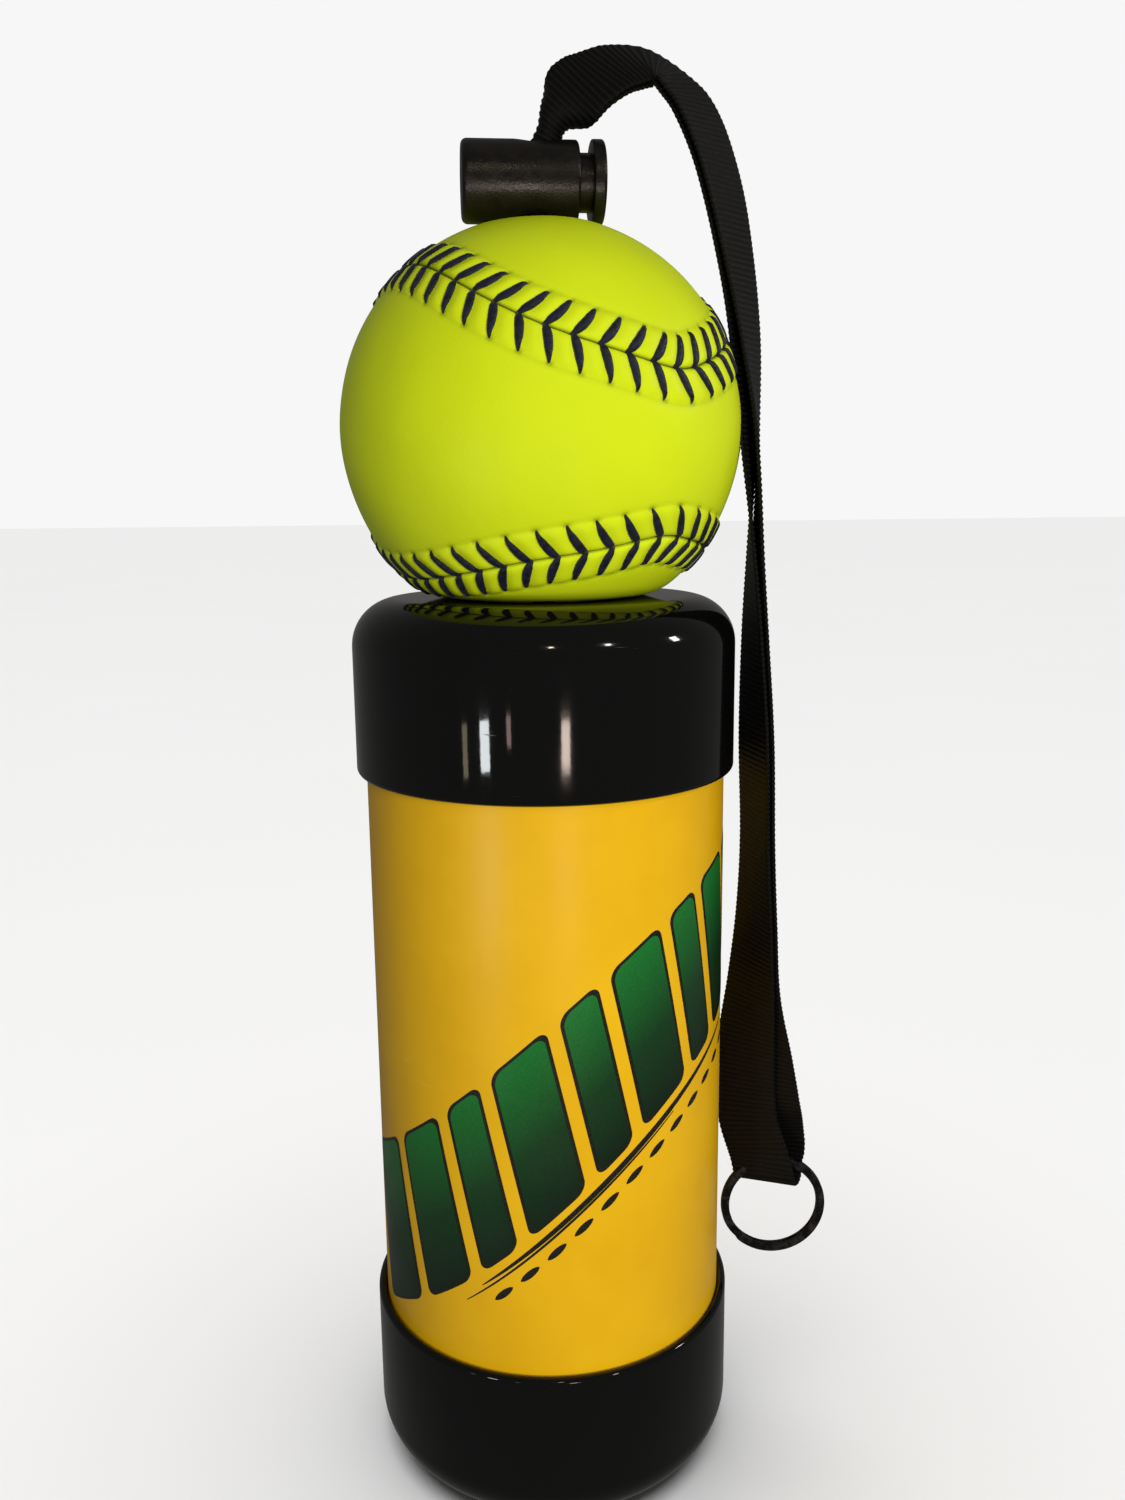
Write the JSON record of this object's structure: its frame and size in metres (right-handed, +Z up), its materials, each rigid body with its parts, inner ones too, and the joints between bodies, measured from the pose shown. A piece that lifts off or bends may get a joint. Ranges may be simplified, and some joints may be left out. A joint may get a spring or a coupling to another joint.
{
  "type": "softball pitching trainer",
  "caption": "Softball on a webbing strap above a capped tube, held by a spring cord lock, with the strap's doubled loop and a split ring hanging beside it.",
  "frame": {"origin": "centre of the flat base of the bottom cap", "axes": "+Z up along the tube, -Y towards the side with the printed graphic, +X towards the hanging strap"},
  "size_m": [0.1139, 0.089, 0.3241],
  "materials": {
    "yellow_tube": "satin printed plastic pipe",
    "black_cap": "polished black plastic",
    "bush_rubber": "moulded rubber",
    "zinc_steel": "zinc-plated steel",
    "black_webbing": "ribbed nylon webbing",
    "core_foam": "moulded soft foam",
    "optic_yellow_leather": "smooth coated leather",
    "navy_thread": "waxed thread",
    "sleeve_nylon": "nylon tube",
    "lock_plastic": "fine-textured black plastic",
    "black_ring": "black-plated spring wire"
  },
  "bodies": {
    "canister": {"canister_tube": "yellow_tube", "bottom_cap": "black_cap"},
    "lid": {"top_cap": "black_cap", "cap_bush": "bush_rubber", "anchor_washer": "zinc_steel", "anchor_bar": "zinc_steel", "anchor_loop": "black_webbing", "inner_strap": "black_webbing", "strap": "black_webbing", "strap_fold": "black_webbing"},
    "ball": {"ball_core": "core_foam", "ball_cover_front": "optic_yellow_leather", "ball_cover_back": "optic_yellow_leather", "ball_seam_thread": "navy_thread", "ball_sleeve": "sleeve_nylon"},
    "cord_lock": {"lock_barrel": "lock_plastic", "lock_spring": "zinc_steel"},
    "lock_button": {"lock_plunger": "lock_plastic"},
    "ring": {"split_ring": "black_ring"}
  },
  "joints": [
    {"name": "lid_pull", "type": "slide", "parent": "canister", "child": "lid", "axis": [0, 0, 1], "range_m": [0, 0.03]},
    {"name": "ball_spin", "type": "hinge", "parent": "lid", "child": "ball", "pos_m": [0, 0, 0.2471], "axis": [0, 0, 1], "continuous": true},
    {"name": "lock_turn", "type": "hinge", "parent": "lid", "child": "cord_lock", "pos_m": [0.0012, 0, 0.299], "axis": [0, 0, 1], "range_deg": [-45, 45]},
    {"name": "button_press", "type": "slide", "parent": "cord_lock", "child": "lock_button", "axis": [-0.9962, -0.0872, 0], "range_m": [0, 0.0026], "stiffness_N_per_m": 1500, "springref_m": -0.004, "deforming": ["lock_spring"]},
    {"name": "ring_swing", "type": "hinge", "parent": "lid", "child": "ring", "pos_m": [0.0562, 0, 0.0662], "axis": [1, 0, 0], "range_deg": [-75, 75]}
  ]
}
